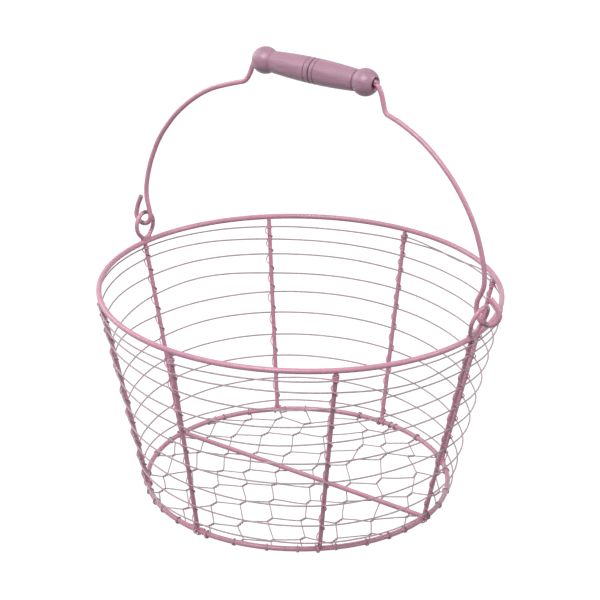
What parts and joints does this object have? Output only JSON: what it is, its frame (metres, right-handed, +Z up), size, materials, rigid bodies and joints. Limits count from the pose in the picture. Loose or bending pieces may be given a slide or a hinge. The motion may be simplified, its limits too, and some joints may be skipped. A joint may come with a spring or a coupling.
{
  "type": "wire onion basket",
  "caption": "Round tapered wire basket with netted base, hand-bound hoops, and a swinging bail with a turned wooden grip.",
  "frame": {"origin": "on the surface the basket stands on, under the middle of its bounding box; the rings' common axis is 4 mm towards -X because the right hook reaches further", "axes": "+Z up; +X runs from the left ear to the right ear, along the bail's hinge; +Y away from the viewer, the way the bail leans at rest"},
  "size_m": [0.314, 0.2832, 0.3145],
  "materials": {
    "wire_paint": "satin",
    "thin_wire_paint": "satin",
    "grip_paint": "matte"
  },
  "bodies": {
    "basket": {"rim_ring": "wire_paint", "base_ring": "wire_paint", "base_cross_rod": "wire_paint", "upright_1": "wire_paint", "upright_2": "wire_paint", "upright_3": "wire_paint", "upright_4": "wire_paint", "upright_5": "wire_paint", "upright_6": "wire_paint", "upright_7": "wire_paint", "upright_8": "wire_paint", "hoop_01": "thin_wire_paint", "hoop_02": "thin_wire_paint", "hoop_03": "thin_wire_paint", "hoop_04": "thin_wire_paint", "hoop_05": "thin_wire_paint", "hoop_06": "thin_wire_paint", "hoop_07": "thin_wire_paint", "hoop_08": "thin_wire_paint", "hoop_09": "thin_wire_paint", "hoop_10": "thin_wire_paint", "binding_wire_1": "thin_wire_paint", "binding_wire_2": "thin_wire_paint", "binding_wire_3": "thin_wire_paint", "binding_wire_4": "thin_wire_paint", "binding_wire_5": "thin_wire_paint", "binding_wire_6": "thin_wire_paint", "binding_wire_7": "thin_wire_paint", "binding_wire_8": "thin_wire_paint", "base_netting": "thin_wire_paint", "ear_left": "wire_paint", "ear_right": "wire_paint"},
    "bail": {"bail_wire": "wire_paint"},
    "grip": {"grip": "grip_paint"}
  },
  "joints": [
    {"name": "bail_swing", "type": "hinge", "parent": "basket", "child": "bail", "pos_m": [-0.004, 0.002, 0.1639], "axis": [1, 0, 0], "range_deg": [-86, 94]},
    {"name": "grip_spin", "type": "hinge", "parent": "bail", "child": "grip", "pos_m": [-0.002, 0.01088, 0.30502], "axis": [1, 0, 0], "continuous": true}
  ]
}
